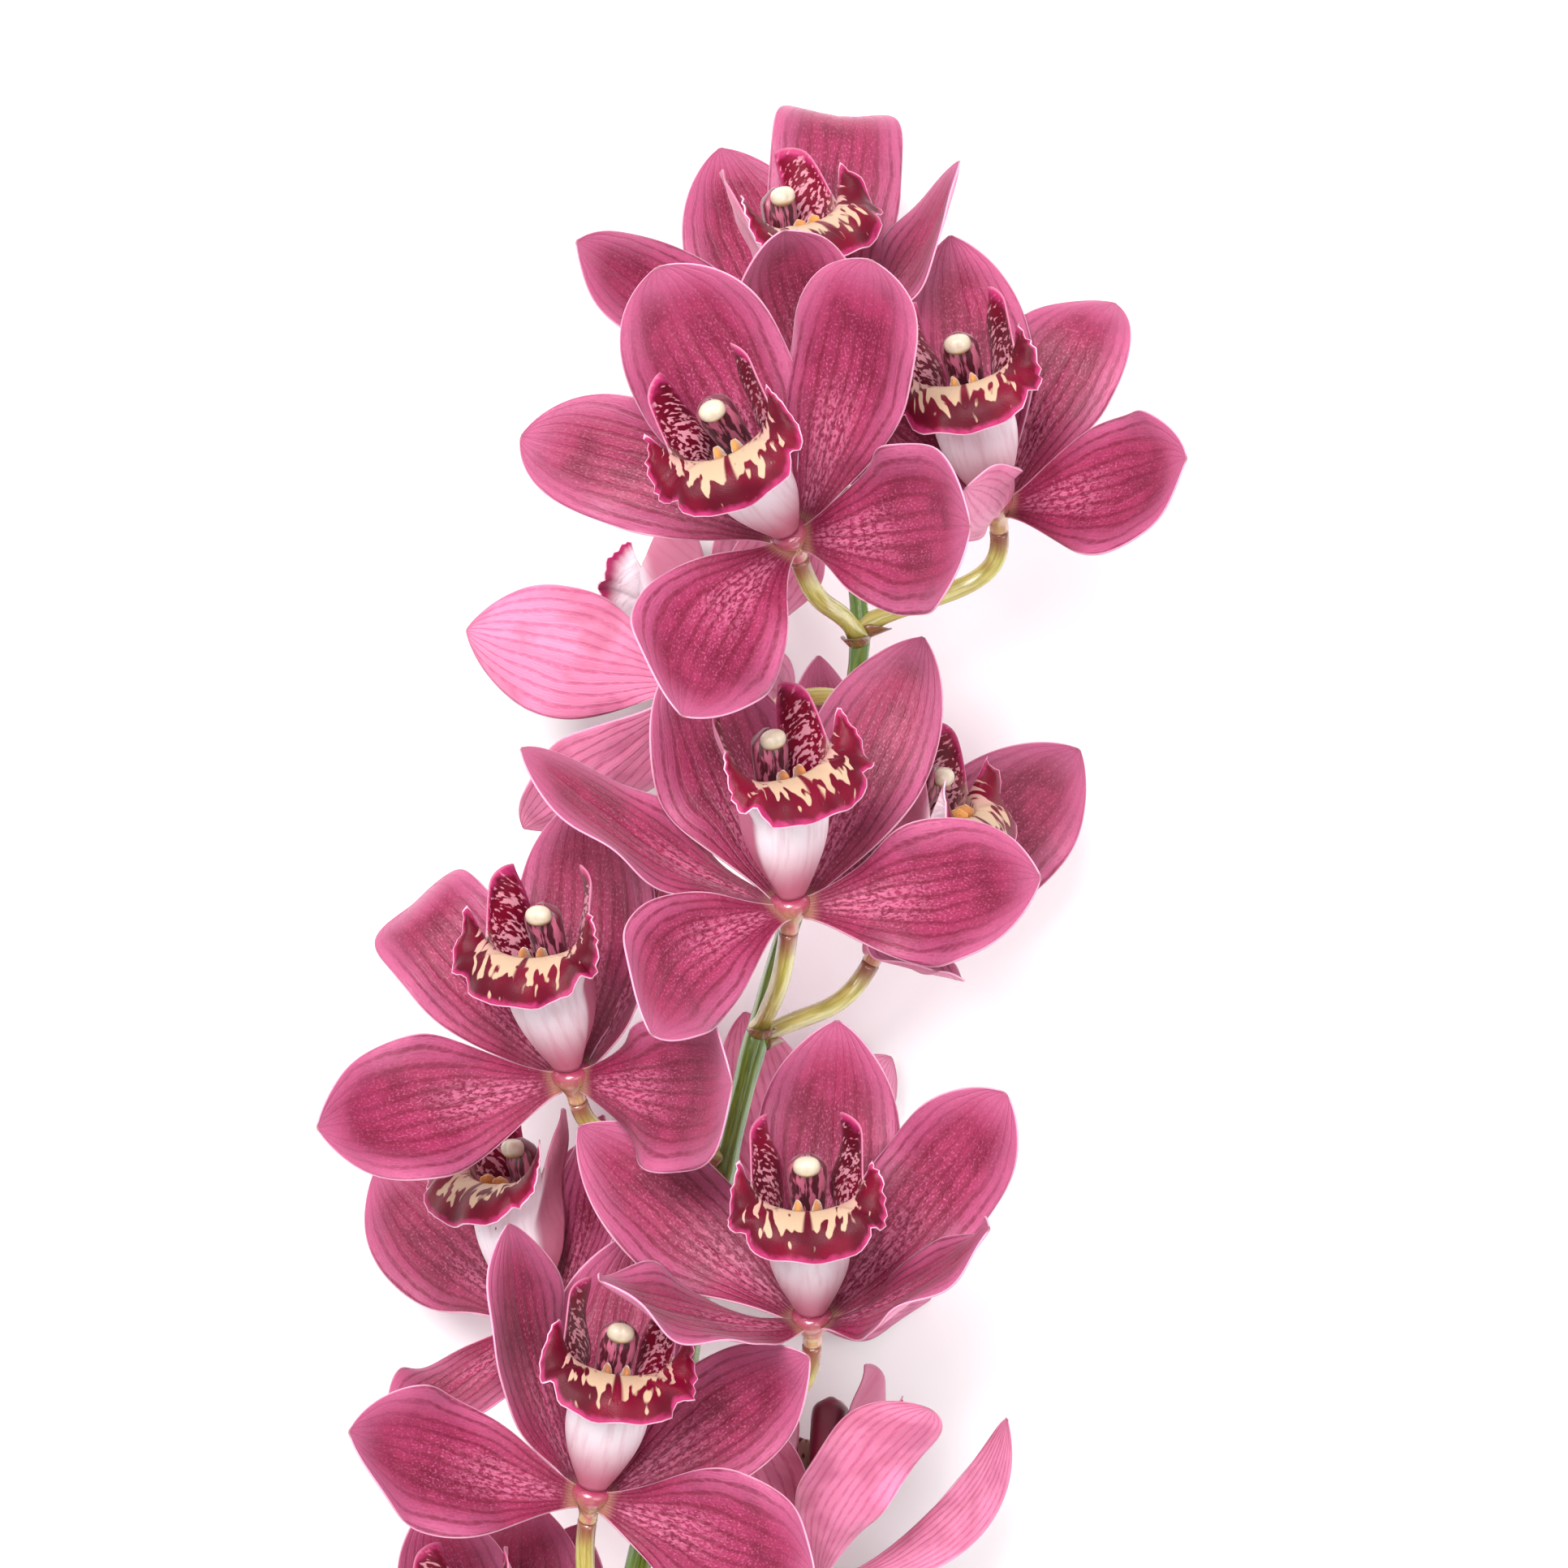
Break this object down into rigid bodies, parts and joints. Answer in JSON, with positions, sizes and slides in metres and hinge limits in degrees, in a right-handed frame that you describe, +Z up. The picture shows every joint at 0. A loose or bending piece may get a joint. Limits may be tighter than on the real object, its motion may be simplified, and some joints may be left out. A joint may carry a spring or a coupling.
{
  "type": "cymbidium orchid stem",
  "caption": "Cut cymbidium orchid stem lying down: a green flower stalk with pink blooms, each with a spotted burgundy lip.",
  "frame": {"origin": "on the surface that the stem lies on, at the middle of the part's width and length", "axes": "+Y along the stem from its cut end to its tip, +Z up from the surface, +X to the right seen from above with the tip away"},
  "size_m": [0.1825, 0.5073, 0.1355],
  "materials": {
    "petal_pink": "soft satin petal, pink with darker red veins, paler behind",
    "lip_burgundy": "velvety burgundy front lobe with a cream middle, spotted side lobes and a pale outside",
    "column_rose": "waxy rose to burgundy",
    "cap_cream": "smooth waxy cream",
    "stem_green": "glossy green stalk, with yellow-olive flower stalks"
  },
  "bodies": {
    "root": {"stem": "stem_green", "bloom_01_tepals": "petal_pink", "bloom_01_lip": "lip_burgundy", "bloom_01_column": "column_rose", "bloom_01_cap": "cap_cream", "bloom_02_tepals": "petal_pink", "bloom_02_lip": "lip_burgundy", "bloom_02_column": "column_rose", "bloom_02_cap": "cap_cream", "bloom_03_tepals": "petal_pink", "bloom_03_lip": "lip_burgundy", "bloom_03_column": "column_rose", "bloom_03_cap": "cap_cream", "bloom_04_tepals": "petal_pink", "bloom_04_lip": "lip_burgundy", "bloom_04_column": "column_rose", "bloom_04_cap": "cap_cream", "bloom_05_tepals": "petal_pink", "bloom_05_lip": "lip_burgundy", "bloom_05_column": "column_rose", "bloom_05_cap": "cap_cream", "bloom_06_tepals": "petal_pink", "bloom_06_lip": "lip_burgundy", "bloom_06_column": "column_rose", "bloom_06_cap": "cap_cream", "bloom_07_tepals": "petal_pink", "bloom_07_lip": "lip_burgundy", "bloom_07_column": "column_rose", "bloom_07_cap": "cap_cream", "bloom_08_tepals": "petal_pink", "bloom_08_lip": "lip_burgundy", "bloom_08_column": "column_rose", "bloom_08_cap": "cap_cream", "bloom_09_tepals": "petal_pink", "bloom_09_lip": "lip_burgundy", "bloom_09_column": "column_rose", "bloom_09_cap": "cap_cream", "bloom_10_tepals": "petal_pink", "bloom_10_lip": "lip_burgundy", "bloom_10_column": "column_rose", "bloom_10_cap": "cap_cream", "bloom_11_tepals": "petal_pink", "bloom_11_lip": "lip_burgundy", "bloom_11_column": "column_rose", "bloom_11_cap": "cap_cream", "bloom_12_tepals": "petal_pink", "bloom_12_lip": "lip_burgundy", "bloom_12_column": "column_rose", "bloom_12_cap": "cap_cream", "bloom_13_tepals": "petal_pink", "bloom_13_lip": "lip_burgundy", "bloom_13_column": "column_rose", "bloom_13_cap": "cap_cream", "bloom_14_tepals": "petal_pink", "bloom_14_lip": "lip_burgundy", "bloom_14_column": "column_rose", "bloom_14_cap": "cap_cream"}
  },
  "joints": []
}
